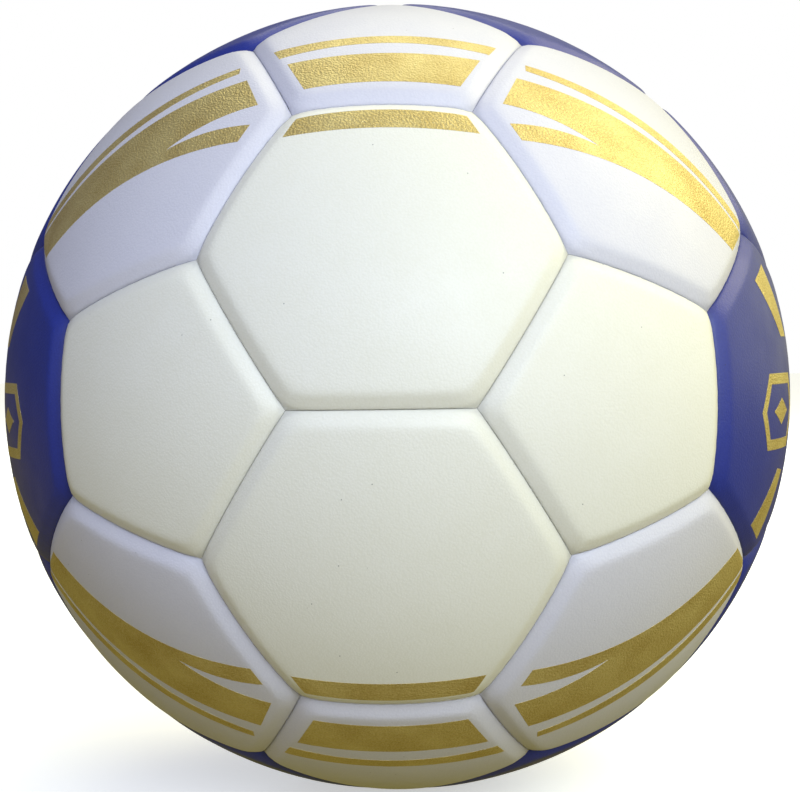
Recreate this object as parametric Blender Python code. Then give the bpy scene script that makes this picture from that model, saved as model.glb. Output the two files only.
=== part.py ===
"""A size 3 handball, hand-stitched from 32 panels around a padded lining, a bladder and its valve.

Metres, +Z up, the ball's centre at the origin. The front of the ball faces -Y.
"""

from itertools import pairwise
from math import asin, cos, pi, sin, sqrt, tau

import bmesh
import bpy
from mathutils import Matrix, Vector

# Overall sizes
BALL_RADIUS = 0.094  # 590 mm around
PANEL_THICKNESS = 0.0018  # leather skin with its foam, away from the edges
LIP_DEPTH = 0.0036  # turned-in edge, from the ball's surface to its foot
LIP_THICKNESS = 0.0018
SEAM_DEPTH = 0.0018  # bottom of the visible groove
RIM_WIDTH = 0.0030  # rounded edge of a panel, from the seam to the flat of the panel

# Stitching
THREAD_WIDTH = 0.0018
THREAD_THICKNESS = 0.0006

# Lining and bladder
CLOTH_THICKNESS = 0.0008  # the lining where it passes under a seam
BLADDER_WALL = 0.0010

# Valve
VALVE_BARREL_RADIUS = 0.0043
VALVE_FLANGE_RADIUS = 0.0110
VALVE_FLANGE_THICKNESS = 0.0014
VALVE_RECESS = 0.0008  # valve face below the ball's surface
VALVE_BORE_RADIUS = 0.0022
VALVE_SEAT_RADIUS = 0.0034  # counterbore for the head of the core
VALVE_SEAT_DEPTH = 0.0012
CORE_LENGTH = 0.0080
NEEDLE_RADIUS = 0.0006
PATCH_RADIUS = 0.0160
PATCH_THICKNESS = 0.0009

# Clearances
GAP = 0.0003  # between two pieces that touch on the real ball
PATCH_CLEARANCE = 0.0009  # from the bladder's wall to a patch inside it

# Facets
EDGE_STEPS = 3  # along each side of a panel
VALVE_SIDES = 24
CAP_STEPS = 3  # from the middle of a patch to its rim

GOLDEN = (1 + sqrt(5)) / 2
MERGE = 1e-6

# Radii of the layers, from the outside in
panel_underside = BALL_RADIUS - PANEL_THICKNESS
lip_foot = BALL_RADIUS - LIP_DEPTH
thread_top = lip_foot - GAP
thread_bottom = thread_top - THREAD_THICKNESS
lining_groove = thread_bottom - GAP
lining_pad = panel_underside - GAP
lining_inside = lining_groove - CLOTH_THICKNESS
bladder_outside = lining_inside - GAP
bladder_inside = bladder_outside - BLADDER_WALL
patch_outside = bladder_inside - PATCH_CLEARANCE
patch_inside = patch_outside - PATCH_THICKNESS

valve_face = BALL_RADIUS - VALVE_RECESS
valve_seat = valve_face - VALVE_SEAT_DEPTH
flange_top = sqrt(patch_inside**2 - VALVE_FLANGE_RADIUS**2) - GAP
flange_bottom = flange_top - VALVE_FLANGE_THICKNESS


# ---------------------------------------------------------------- where the panels lie


def around_axes(p, q):
    """The twelve directions (0, +-p, +-q), (+-q, 0, +-p) and (+-p, +-q, 0)."""
    found = []
    for a in (-p, p):
        for b in (-q, q):
            found += [Vector((0, a, b)), Vector((b, 0, a)), Vector((a, b, 0))]
    return [v.normalized() for v in found]


CUBE = [Vector((x, y, z)).normalized() for x in (-1, 1) for y in (-1, 1) for z in (-1, 1)]
PENTAGONS = around_axes(1, GOLDEN)
HEXAGONS = around_axes(GOLDEN, 1 / GOLDEN) + CUBE

# A corner lies a third of the way from a pentagon's middle to that of each of its five neighbours.
CORNERS = [
    ((2 * near + far) / 3).normalized()
    for near in PENTAGONS
    for far in sorted(PENTAGONS, key=near.angle)[1:6]
]

# The colour goes by which of x, y and z is nought at the panel's middle.
PENTAGON_COLOURS = {0: "white", 1: "blue", 2: "cream"}
HEXAGON_COLOURS = {0: "cream", 1: "blue", 2: "blue", None: "white"}


class Panel:
    """One panel's place: its own Z points out of the ball, and its own X towards a corner."""

    def __init__(self, centre, count):
        corner = min(CORNERS, key=centre.angle)
        x_axis = (corner - centre * corner.dot(centre)).normalized()
        self.centre = centre
        self.count = count
        self.turn = Matrix((x_axis, centre.cross(x_axis), centre)).transposed()

    def name(self):
        shape, colours = "hexagon", HEXAGON_COLOURS
        if self.count == 5:
            shape, colours = "pentagon", PENTAGON_COLOURS
        flat = [axis for axis in range(3) if abs(self.centre[axis]) < MERGE]
        words = (("left", "right"), ("front", "back"), ("lower", "upper"))
        place = [words[axis][self.centre[axis] > 0] for axis in range(3) if axis not in flat]
        return "_".join([shape, colours[flat[0] if flat else None], *place])

    def half(self):
        """Each half of the cover is sewn by itself: the belt's right side goes with the front."""
        x, y, _ = self.centre
        return "front" if y < -MERGE or (y < MERGE and x > 0) else "back"

    def corner(self, k):
        return self.turn @ corner(self.count, k)


# ---------------------------------------------------------------- one panel's outline, +Z at its middle


def corner(count, k):
    """The direction of corner k of a panel with count sides."""
    away = CORNER_ANGLES[count]
    heading = tau * k / count
    return Vector((sin(away) * cos(heading), sin(away) * sin(heading), cos(away)))


def side_normal(count, k):
    """Into the panel, from the plane through the ball's centre and side k."""
    return corner(count, k).cross(corner(count, k + 1)).normalized()


def inset_corner(count, k, inset, radius):
    """Where two sides meet when both are moved into the panel by inset."""
    before, after = side_normal(count, k - 1), side_normal(count, k)
    foot = inset * (before + after) / (1 + before.dot(after))
    return foot + corner(count, k) * sqrt(radius**2 - foot.length_squared)


def side_points(count, k, inset, radius, start=0.0, end=1.0):
    """Points along side k, moved into the panel by inset, on a sphere."""
    lift = inset * side_normal(count, k)
    a = inset_corner(count, k, inset, radius) - lift
    b = inset_corner(count, k + 1, inset, radius) - lift
    span = a.angle(b)
    points = []
    for step in range(EDGE_STEPS + 1):
        t = start + (end - start) * step / EDGE_STEPS
        points.append(lift + (a * sin((1 - t) * span) + b * sin(t * span)) / sin(span))
    return points


def ring(count, inset, radius):
    return [p for k in range(count) for p in side_points(count, k, inset, radius)[:-1]]


def dome(count, inset, radius):
    """From the panel's middle to its outline at inset, in two steps."""
    middle = radius * side_normal(count, 0).z
    pole = [Vector((0, 0, radius))]
    return [pole, ring(count, (inset + middle) / 2, radius), ring(count, inset, radius)]


CORNER_ANGLES = {5: PENTAGONS[0].angle(min(CORNERS, key=PENTAGONS[0].angle))}
CORNER_ANGLES[6] = HEXAGONS[0].angle(min(CORNERS, key=HEXAGONS[0].angle))
PANELS = [Panel(c, 6) for c in HEXAGONS] + [Panel(c, 5) for c in PENTAGONS]


# ---------------------------------------------------------------- meshes


def bridge(bm, rings, turn=Matrix.Identity(3)):
    """Triangles from each ring around Z to the next. A ring of one point is a pole.

    The diagonals always leave the narrower ring the same way, so layers that nest have matching facets.
    """
    loops = [[bm.verts.new(turn @ p) for p in points] for points in rings]
    widths = [points[0].xy.length for points in rings]
    for (a, b), widening in zip(pairwise(loops), (w <= v for w, v in pairwise(widths))):
        many = max(len(a), len(b))
        for i in range(many):
            j = (i + 1) % many
            ai, aj, bi, bj = a[i % len(a)], a[j % len(a)], b[i % len(b)], b[j % len(b)]
            halves = ((ai, bi, bj), (ai, bj, aj)) if widening else ((ai, bi, aj), (bi, bj, aj))
            for half in halves:
                if len(set(half)) == 3:
                    bm.faces.new(half)


def finished_mesh(bm, name):
    bmesh.ops.remove_doubles(bm, verts=bm.verts, dist=MERGE)
    mesh = bpy.data.meshes.new(name)
    bm.to_mesh(mesh)
    bm.free()
    mesh.shade_smooth()
    mesh.set_sharp_from_angle(angle=pi / 6)
    return mesh


def linear(hex_colour):
    """A colour written as sRGB, in the linear values that a material takes."""
    values = [int(hex_colour[i : i + 2], 16) / 255 for i in (0, 2, 4)]
    return [v / 12.92 if v <= 0.04045 else ((v + 0.055) / 1.055) ** 2.4 for v in values] + [1.0]


# Colour and roughness of each kind of piece
FINISHES = {
    "cream": ("E9EADB", 0.42),
    "white": ("E6E8F0", 0.42),
    "blue": ("2A2C96", 0.38),
    "lining": ("D8D2C4", 0.90),
    "bladder": ("2B2B2E", 0.55),
    "valve": ("1D1D20", 0.50),
    "thread": ("E8E6DC", 0.70),
}


def add_piece(name, mesh, finish, place=Matrix()):
    """One named object with its own material, put in its place by location and rotation."""
    piece = bpy.data.objects.new(name, mesh)
    bpy.context.scene.collection.objects.link(piece)
    piece.matrix_world = place
    colour, roughness = FINISHES[finish]
    material = bpy.data.materials.new(f"{name}_finish")
    material.use_nodes = True
    shader = material.node_tree.nodes["Principled BSDF"]
    shader.inputs["Base Color"].default_value = linear(colour)
    shader.inputs["Roughness"].default_value = roughness
    shader.inputs["Metallic"].default_value = 0.0
    mesh.materials.append(material)
    return piece


def add_hole(piece, cutter):
    cut = piece.modifiers.new("valve_hole", "BOOLEAN")
    cut.operation = "DIFFERENCE"
    cut.solver = "EXACT"
    cut.object = cutter


# ---------------------------------------------------------------- cover


def panel_rings(count):
    """A dished panel: rounded at its edges, which turn in to make the lips that the thread joins."""
    edge = GAP / 2
    lip = edge + LIP_THICKNESS
    rings = dome(count, edge + RIM_WIDTH, BALL_RADIUS)
    rings.append(ring(count, edge + RIM_WIDTH / 3, BALL_RADIUS - SEAM_DEPTH / 3))
    rings.append(ring(count, edge, BALL_RADIUS - SEAM_DEPTH))
    rings.append(ring(count, edge, lip_foot))
    rings.append(ring(count, lip, lip_foot))
    return rings + dome(count, lip, panel_underside)[::-1]


def add_panels():
    """Every panel of a shape has the same mesh, with its origin at the panel's middle on the surface."""
    down = Vector((0, 0, BALL_RADIUS))
    pieces = {}
    for panel in PANELS:
        bm = bmesh.new()
        bridge(bm, [[p - down for p in points] for points in panel_rings(panel.count)])
        name = panel.name()
        place = Matrix.Translation(panel.centre * BALL_RADIUS) @ panel.turn.to_4x4()
        pieces[name] = add_piece(name, finished_mesh(bm, name), name.split("_")[1], place)
    return pieces


# ---------------------------------------------------------------- lining and bladder


def add_shell(name, finish, outside, inside):
    """A hollow ball made of one patch for each panel, joined where the seams run."""
    bm = bmesh.new()
    for panel in PANELS:
        for rings in (outside(panel.count), inside(panel.count)):
            bridge(bm, rings, panel.turn)
    return add_piece(name, finished_mesh(bm, name), finish)


def add_lining():
    """A pad fills the dish of each panel, and thin cloth joins the pads under the seams."""
    pad = GAP / 2 + LIP_THICKNESS + GAP

    def outside(count):
        groove = [ring(count, inset, lining_groove) for inset in (pad, 0)]
        return dome(count, pad, lining_pad) + groove

    def inside(count):
        return dome(count, 0, lining_inside)[::-1]

    return add_shell("padded_lining", "lining", outside, inside)


def add_bladder():
    def outside(count):
        return dome(count, 0, bladder_outside)

    def inside(count):
        return dome(count, 0, bladder_inside)[::-1]

    return add_shell("bladder", "bladder", outside, inside)


# ---------------------------------------------------------------- thread


def point_key(point):
    return tuple(round(v, 3) + 0.0 for v in point)


def find_seams():
    """Each seam as its two panels and their side numbers, and the panels that meet at each corner."""
    sides, meeting = {}, {}
    for panel in PANELS:
        for k in range(panel.count):
            ends = frozenset(point_key(panel.corner(k + n)) for n in (0, 1))
            sides.setdefault(ends, []).append((panel, k))
            meeting.setdefault(point_key(panel.corner(k)), []).append((panel, k))
    return list(sides.values()), meeting


def sewn_by(panels):
    halves = {panel.half() for panel in panels}
    return halves.pop() if len(halves) == 1 else "joining"


def thread_sections(left, right, start, end):
    """Cross-sections of the thread along a seam: left top, right top, right bottom, left bottom."""
    inset = THREAD_WIDTH / 2
    lines = []
    for radius in (thread_top, thread_bottom):
        panel, k = left
        lines.append([panel.turn @ p for p in side_points(panel.count, k, inset, radius, start, end)])
        panel, k = right
        back = side_points(panel.count, k, inset, radius, 1 - end, 1 - start)[::-1]
        lines.append([panel.turn @ p for p in back])
    left_top, right_top, left_bottom, right_bottom = lines
    return list(zip(left_top, right_top, right_bottom, left_bottom))


def add_face(bm, points):
    bm.faces.new([bm.verts.new(p) for p in points])


def add_seam(bm, left, right, sewer, meeting):
    """The thread along one seam. It stops short of a corner that another thread runs through."""
    panel, k = left
    stop = GAP / (thread_top * panel.corner(k).angle(panel.corner(k + 1)))
    owns = [sewn_by(p for p, _ in meeting[point_key(panel.corner(k + n))]) == sewer for n in (0, 1)]
    start, end = (0 if owns[0] else stop), (1 if owns[1] else 1 - stop)
    sections = thread_sections(left, right, start, end)
    for a, b in pairwise(sections):
        for i in range(4):
            j = (i + 1) % 4
            add_face(bm, [a[i], b[i], b[j], a[j]])
    if not owns[0]:
        add_face(bm, sections[0])
    if not owns[1]:
        add_face(bm, sections[-1])


def add_crossing(bm, panels, sewer):
    """The three-cornered knot where seams meet, closed off towards a seam that another thread sews."""
    inset = THREAD_WIDTH / 2
    top, bottom = (
        [panel.turn @ inset_corner(panel.count, k, inset, radius) for panel, k in panels]
        for radius in (thread_top, thread_bottom)
    )
    add_face(bm, top)
    add_face(bm, bottom)
    for i, j in ((0, 1), (1, 2), (2, 0)):
        if sewn_by([panels[i][0], panels[j][0]]) != sewer:
            add_face(bm, [top[i], top[j], bottom[j], bottom[i]])


def add_thread(sewer):
    """A net under the lips, along every seam that this thread sews."""
    bm = bmesh.new()
    seams, meeting = find_seams()
    for left, right in seams:
        if sewn_by([left[0], right[0]]) == sewer:
            add_seam(bm, left, right, sewer, meeting)
    for panels in meeting.values():
        if sewn_by([panel for panel, _ in panels]) == sewer:
            add_crossing(bm, panels, sewer)
    bmesh.ops.remove_doubles(bm, verts=bm.verts, dist=MERGE)
    bmesh.ops.recalc_face_normals(bm, faces=bm.faces)
    name = f"seam_thread_{sewer}"
    return add_piece(name, finished_mesh(bm, name), "thread")


# ---------------------------------------------------------------- valve and patches


def turned(name, profile):
    """A round piece from (radius, height) points that run from the top outwards, down and back."""
    bm = bmesh.new()
    rings = []
    for radius, height in profile:
        sides = VALVE_SIDES if radius > 0 else 1
        turns = [tau * (i + 0.5) / sides for i in range(sides)]
        rings.append([Vector((radius * cos(t), radius * sin(t), height)) for t in turns])
    if profile[0][0] > 0:
        rings.append(rings[0])
    bridge(bm, rings)
    return finished_mesh(bm, name)


def cap_arc(radius, inner, outer):
    """Points of a turned profile that follow a sphere, between two distances from its axis."""
    first, last = asin(inner / radius), asin(outer / radius)
    angles = [first + (last - first) * i / CAP_STEPS for i in range(CAP_STEPS + 1)]
    return [(radius * sin(a), radius * cos(a)) for a in angles]


def patch_profile(hole):
    return cap_arc(patch_outside, hole, PATCH_RADIUS) + cap_arc(patch_inside, hole, PATCH_RADIUS)[::-1]


def add_valve(valve_panel):
    """The housing's flange lies inside the bladder, and its barrel reaches out through the cover."""
    place = valve_panel.turn.to_4x4()
    hole = VALVE_BARREL_RADIUS + GAP
    housing = [
        (VALVE_SEAT_RADIUS, valve_face),
        (VALVE_BARREL_RADIUS, valve_face),
        (VALVE_BARREL_RADIUS, flange_top),
        (VALVE_FLANGE_RADIUS, flange_top),
        (VALVE_FLANGE_RADIUS, flange_bottom),
        (VALVE_BORE_RADIUS, flange_bottom),
        (VALVE_BORE_RADIUS, valve_seat),
        (VALVE_SEAT_RADIUS, valve_seat),
    ]
    add_piece("valve_housing", turned("valve_housing", housing), "valve", place)
    head, shaft = VALVE_SEAT_RADIUS - GAP, VALVE_BORE_RADIUS - GAP
    tip = valve_face - CORE_LENGTH
    core = [
        (NEEDLE_RADIUS, valve_face - GAP),
        (head, valve_face - GAP),
        (head, valve_seat + GAP),
        (shaft, valve_seat + GAP),
        (shaft, tip),
        (NEEDLE_RADIUS, tip),
    ]
    add_piece("valve_core", turned("valve_core", core), "valve", place)
    add_piece("valve_patch", turned("valve_patch", patch_profile(hole)), "bladder", place)


def add_balance_patch(valve_panel):
    """A patch of the same size on the far side of the bladder, so that the ball runs true."""
    place = Matrix.Rotation(pi, 4, "X") @ valve_panel.turn.to_4x4()
    add_piece("balance_patch", turned("balance_patch", patch_profile(0)), "bladder", place)


def valve_cutter(valve_panel):
    """A guide that makes the hole for the valve's barrel in everything outside its flange."""
    hole = VALVE_BARREL_RADIUS + GAP
    top, bottom = BALL_RADIUS + VALVE_BARREL_RADIUS, patch_inside
    mesh = turned("valve_cutter", [(0, top), (hole, top), (hole, bottom), (0, bottom)])
    cutter = bpy.data.objects.new("valve_cutter", mesh)
    bpy.context.scene.collection.objects.link(cutter)
    cutter.matrix_world = valve_panel.turn.to_4x4()
    cutter.hide_render = True
    cutter.display_type = "WIRE"
    return cutter


def main():
    for thing in list(bpy.data.objects):
        bpy.data.objects.remove(thing, do_unlink=True)
    panels = add_panels()
    valve_panel = next(p for p in PANELS if p.name() == "hexagon_cream_back_upper")
    cutter = valve_cutter(valve_panel)
    add_hole(panels[valve_panel.name()], cutter)
    add_hole(add_lining(), cutter)
    add_hole(add_bladder(), cutter)
    for sewer in ("front", "back", "joining"):
        add_thread(sewer)
    add_valve(valve_panel)
    add_balance_patch(valve_panel)


main()
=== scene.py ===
# %% [markdown]
# # A hand-stitched match handball
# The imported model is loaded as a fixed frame: it says how large the ball is and which pieces it has.
# Each piece of that model is then given a finer twin, built here from the same rules: a ball of 12
# pentagons and 20 hexagons, each a leather panel puffed by the air inside and pulled in at its seams.

from itertools import pairwise
from math import asin, cos, pi, radians, sin, sqrt, tau

import bmesh
import bpy
import numpy as np
from mathutils import Matrix, Vector


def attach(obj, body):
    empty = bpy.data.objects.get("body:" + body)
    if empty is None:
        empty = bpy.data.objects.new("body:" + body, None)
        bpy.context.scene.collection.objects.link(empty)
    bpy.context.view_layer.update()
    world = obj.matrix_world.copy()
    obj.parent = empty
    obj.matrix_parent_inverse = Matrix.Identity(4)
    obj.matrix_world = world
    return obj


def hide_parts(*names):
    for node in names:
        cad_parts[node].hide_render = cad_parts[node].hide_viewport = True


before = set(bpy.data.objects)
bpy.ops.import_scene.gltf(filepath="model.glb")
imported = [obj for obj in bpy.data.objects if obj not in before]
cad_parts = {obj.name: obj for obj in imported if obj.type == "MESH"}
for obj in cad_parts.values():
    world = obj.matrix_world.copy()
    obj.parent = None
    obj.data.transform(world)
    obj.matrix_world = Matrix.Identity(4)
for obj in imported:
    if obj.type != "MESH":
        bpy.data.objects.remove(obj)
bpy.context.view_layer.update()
scene = bpy.context.scene

# %% [markdown]
# ## Sizes
# The ball's radius is how far the model's panels reach from its middle. Its box is a little smaller,
# because it has a seam at its very top, bottom, front, back and sides. Every other size is the
# leather's, the thread's or the valve's own, in metres.

# %% Sizes
MM = 0.001
RIM_WIDTH = 3.0 * MM  # rounded edge of a panel, from the seam to its flat
SEAM_GAP = 0.1 * MM  # the thread pulls the panels together until they all but touch
BALL_RADIUS = max(vertex.co.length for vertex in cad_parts["hexagon_cream_front_upper"].data.vertices)
SEAM_DEPTH = 1.5 * MM
LIP_DEPTH = 3.6 * MM  # how far a panel's turned-in edge reaches under the surface
LIP_THICKNESS = 1.8 * MM
LEATHER_THICKNESS = 1.8 * MM
CLOTH_THICKNESS = 0.8 * MM
BLADDER_WALL = 1.0 * MM
LAYER_GAP = 0.3 * MM
print("ball radius:", round(BALL_RADIUS / MM, 2), "mm")

# %% [markdown]
# ## Where the panels lie
# A stitched ball is a truncated icosahedron. It could be had by cutting the corners off Blender's
# icosphere, but the golden ratio gives every panel's middle directly, and then each panel knows its
# own place: the twelve pentagons sit on an icosahedron's corners, the hexagons on a dodecahedron's.

# %% Panel middles and corners
GOLDEN = (1 + sqrt(5)) / 2
TINY = 1e-6


def around_axes(p, q):
    """The twelve directions (0, +-p, +-q), (+-q, 0, +-p) and (+-p, +-q, 0)."""
    found = []
    for a in (-p, p):
        for b in (-q, q):
            found += [Vector((0, a, b)), Vector((b, 0, a)), Vector((a, b, 0))]
    return [v.normalized() for v in found]


CUBE = [Vector((x, y, z)).normalized() for x in (-1, 1) for y in (-1, 1) for z in (-1, 1)]
PENTAGONS = around_axes(1, GOLDEN)
HEXAGONS = around_axes(GOLDEN, 1 / GOLDEN) + CUBE

# A corner lies a third of the way from a pentagon's middle to that of each of its five neighbours.
CORNERS = [
    ((2 * near + far) / 3).normalized()
    for near in PENTAGONS
    for far in sorted(PENTAGONS, key=near.angle)[1:6]
]
PENTAGON_COLOURS = {0: "white", 1: "blue", 2: "cream"}
HEXAGON_COLOURS = {0: "cream", 1: "blue", 2: "blue", None: "white"}


class Panel:
    """One panel of the cover. Its normals are those of the planes through its seams, facing inwards."""

    def __init__(self, centre, count):
        self.centre = centre
        self.count = count
        corner = min(CORNERS, key=centre.angle)
        x_axis = (corner - centre * corner.dot(centre)).normalized()
        self.turn = Matrix((x_axis, centre.cross(x_axis), centre)).transposed()
        away = corner.angle(centre)
        headings = [tau * k / count for k in range(count)]
        local = [Vector((sin(away) * cos(h), sin(away) * sin(h), cos(away))) for h in headings]
        self.corners = [self.turn @ p for p in local]
        ends = list(zip(self.corners, self.corners[1:] + self.corners[:1]))
        self.middles = [(a + b).normalized() for a, b in ends]
        self.normals = [a.cross(b).normalized() for a, b in ends]

    def colour(self):
        flat = [axis for axis in range(3) if abs(self.centre[axis]) < TINY]
        colours = HEXAGON_COLOURS if self.count == 6 else PENTAGON_COLOURS
        return colours[flat[0] if flat else None]

    def place(self):
        words = (("left", "right"), ("front", "back"), ("lower", "upper"))
        used = [axis for axis in range(3) if abs(self.centre[axis]) > TINY]
        return "_".join(words[axis][self.centre[axis] > 0] for axis in used)

    def node(self):
        shape = "hexagon" if self.count == 6 else "pentagon"
        return f"{shape}_{self.colour()}_{self.place()}"


PANELS = [Panel(c, 6) for c in HEXAGONS] + [Panel(c, 5) for c in PENTAGONS]
for colour in ("cream", "white", "blue"):
    print(colour, "panels:", sum(panel.colour() == colour for panel in PANELS))

# %% [markdown]
# ## The shape of the leather
# Air presses each panel out until it is part of a sphere, and its edges stay down where the thread
# holds them. So the surface is the sphere less a depth that depends on the distance to the nearest
# seam: a straight slope beside the seam, a soft shoulder, then nothing. Sculpting could do it, but a
# formula keeps all 32 panels alike, and the same formula tells the printed foil where to lie.
# The nearest-seam distance is a soft minimum, which is what rounds the shoulder at a corner.

# %% The surface formula
SHOULDER_SOFTNESS = 0.42 * MM
CORNER_ROUNDING = 1.1 * MM
CURL_DEPTH, CURL_WIDTH = 0.3 * MM, 0.2 * MM  # the last turn of the leather into the seam
STITCH_PITCH = 4.2 * MM
PUCKER_DEPTH, PUCKER_WIDTH = 0.05 * MM, 1.3 * MM  # each stitch pulls the edge in a little
HAND_DEPTH = 0.09 * MM  # slow unevenness of a surface made by hand
SWELL_RATE = 9  # per ball radius; a swell is then about 65 mm from crest to crest


def seam_distances(panel, directions):
    """Along the surface, from each direction to each of the panel's seams."""
    normals = np.array(panel.normals)
    return BALL_RADIUS * np.arcsin(np.clip(directions @ normals.T, -1, 1))


def distance_inside(panel, directions):
    """To the nearest seam, rounded off where two seams are near."""
    apart = seam_distances(panel, directions)
    return -CORNER_ROUNDING * np.log(np.exp(-apart / CORNER_ROUNDING).sum(axis=1))


def pucker(panel, directions):
    """A ripple along the nearest seam with the pitch of its stitches."""
    nearest = seam_distances(panel, directions).argmin(axis=1)
    middles = np.array(panel.middles)[nearest]
    along = np.cross(np.array(panel.normals), np.array(panel.middles))[nearest]
    travel = BALL_RADIUS * (directions * along).sum(axis=1) / (directions * middles).sum(axis=1)
    return np.cos(tau * travel / STITCH_PITCH)


def unevenness(directions):
    """Slow swells, from -1 to 1. The rates differ by axis so that they never line up."""
    x, y, z = (directions * SWELL_RATE).T
    swells = np.sin(x + 1.7 * np.sin(y)), np.sin(1.3 * y + 1.5 * np.sin(z)), np.sin(1.1 * z + np.sin(2 * x))
    return sum(swells) / 3


def surface_depth(panel, directions):
    """How far the leather lies below the ball's sphere."""
    inside = distance_inside(panel, directions)
    slope = SHOULDER_SOFTNESS * np.logaddexp(0, (RIM_WIDTH - inside) / SHOULDER_SOFTNESS)
    edge = np.maximum(inside, 0)
    depth = slope * SEAM_DEPTH / RIM_WIDTH + CURL_DEPTH * np.exp(-edge / CURL_WIDTH)
    depth += PUCKER_DEPTH * pucker(panel, directions) * np.exp(-edge / PUCKER_WIDTH)
    return depth + HAND_DEPTH * (1 + unevenness(directions)) / 2


middle = np.array([PANELS[0].centre])
print("depth at a panel's middle:", (surface_depth(PANELS[0], middle) / MM).round(3), "mm")

# %% [markdown]
# ## Rings of points
# A panel's mesh is a stack of rings around its middle. Each ring follows the seams at one distance
# from them, so the rings can lie close together on the curved rim and far apart on the flat, which a
# subdivided face can't do.

# %% Rings
SIDE_STEPS = 22
RIM_RINGS = [0, 0.12, 0.28, 0.5, 0.8, 1.2, 1.6, 2, 2.4, 2.75, 3.1, 3.5, 4, 4.7, 5.8]  # mm from the edge
MIDDLE_RINGS = 9
HOLE_RINGS = 5


def inset_corner(panel, k, inset, radius):
    """Where two seams' planes meet a sphere when both are moved into the panel by inset."""
    before, after = panel.normals[k - 1], panel.normals[k % panel.count]
    foot = inset * (before + after) / (1 + before.dot(after))
    return foot + panel.corners[k % panel.count] * sqrt(radius**2 - foot.length_squared)


def inset_ring(panel, inset, radius=BALL_RADIUS, steps=SIDE_STEPS):
    """Directions along the panel's outline, moved in by inset, as an array."""
    points = []
    for k in range(panel.count):
        lift = inset * panel.normals[k]
        a = inset_corner(panel, k, inset, radius) - lift
        b = inset_corner(panel, k + 1, inset, radius) - lift
        span = a.angle(b)
        for step in range(steps):
            t = step / steps
            points.append((lift + (a * sin((1 - t) * span) + b * sin(t * span)) / sin(span)).normalized())
    return np.array(points)


def normalised(points):
    return points / np.linalg.norm(points, axis=1)[:, None]


def rings_to_middle(panel, ring, count=MIDDLE_RINGS):
    """Rings that shrink from a ring to the panel's middle, then the middle itself."""
    centre = np.array([panel.centre])
    shrinking = [normalised(centre + (ring - centre) * (1 - i / count)) for i in range(1, count)]
    return shrinking + [centre]


def rings_to_hole(panel, ring, radius):
    """Rings that turn from the panel's outline into a round hole."""
    away = ring - np.outer(ring @ np.array(panel.centre), panel.centre)
    circle = normalised(np.array(panel.centre) * sqrt(BALL_RADIUS**2 - radius**2) + normalised(away) * radius)
    return [normalised(ring + (circle - ring) * i / HOLE_RINGS) for i in range(1, HOLE_RINGS + 1)]


print("points around a hexagon:", len(inset_ring(PANELS[0], RIM_WIDTH)))

# %% [markdown]
# ## From rings to a mesh
# `bmesh` is Blender's mesh editor for scripts. One helper joins each ring to the next, and a ring of
# one point becomes a fan. A second one makes the object, shades it smooth, hides the pieces of the
# model that it stands for and parents it to the empty of the ball's only body.

# %% Mesh helpers
def bridge(bm, rings):
    """Faces from each ring of points to the next, outwards and down. A ring of one point is a pole."""
    loops = [[bm.verts.new(p) for p in points] for points in rings]
    for a, b in pairwise(loops):
        many = max(len(a), len(b))
        for i in range(many):
            j = (i + 1) % many
            corners = [a[i % len(a)], b[i % len(b)], b[j % len(b)], a[j % len(a)]]
            bm.faces.new(dict.fromkeys(corners))


def finish_piece(name, bm, material, nodes=()):
    bmesh.ops.remove_doubles(bm, verts=bm.verts, dist=TINY)
    mesh = bpy.data.meshes.new(name)
    bm.to_mesh(mesh)
    bm.free()
    mesh.shade_smooth()
    mesh.set_sharp_from_angle(angle=radians(60))
    mesh.materials.append(material)
    piece = bpy.data.objects.new(name, mesh)
    scene.collection.objects.link(piece)
    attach(piece, "root")
    if nodes:
        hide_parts(*nodes)
    return piece


def add_number(piece, name, values):
    """One number for each point of a mesh, which its material can read."""
    attribute = piece.data.attributes.new(name, "FLOAT", "POINT")
    attribute.data.foreach_set("value", np.asarray(values, dtype=np.float32))


def points_of(piece):
    flat = np.empty(len(piece.data.vertices) * 3, dtype=np.float32)
    piece.data.vertices.foreach_get("co", flat)
    return flat.reshape(-1, 3).astype(float)


# %% [markdown]
# ## Material helpers
# A material here is a small tree of nodes. One helper adds a node with its settings and links, and
# one turns a colour written as sRGB into the linear numbers that the renderer works in.

# %% Material helpers
def linear(hex_colour):
    values = [int(hex_colour[i : i + 2], 16) / 255 for i in (1, 3, 5)]
    return (*(v / 12.92 if v <= 0.04045 else ((v + 0.055) / 1.055) ** 2.4 for v in values), 1.0)


def add_node(tree, kind, sockets=None, **settings):
    """Adds a node. A socket takes a value, another node's output, or a node, for its first output."""
    made = tree.nodes.new("ShaderNode" + kind)
    for name, value in settings.items():
        setattr(made, name, value)
    for name, value in (sockets or {}).items():
        if isinstance(value, bpy.types.Node):
            value = next(output for output in value.outputs if output.enabled)
        if isinstance(value, bpy.types.NodeSocket):
            tree.links.new(value, made.inputs[name])
        else:
            made.inputs[name].default_value = value
    return made


def new_material(name):
    """An empty material, its tree, and the object's own coordinates in metres."""
    material = bpy.data.materials.new(name)
    material.use_nodes = True
    tree = material.node_tree
    tree.nodes.clear()
    coordinates = add_node(tree, "TexCoord").outputs["Object"]
    return material, tree, coordinates


def pattern(coordinates, size_mm, **more):
    """The sockets of a pattern whose cells are this size."""
    return {"Vector": coordinates, "Scale": 1000 / size_mm, **more}


def remap(value, low, high, start, end):
    """The sockets that turn values from low to high into ones from start to end."""
    return {"Value": value, "From Min": low, "From Max": high, "To Min": start, "To Max": end}


def finish_material(tree, shader):
    add_node(tree, "OutputMaterial", {"Surface": shader})
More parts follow.
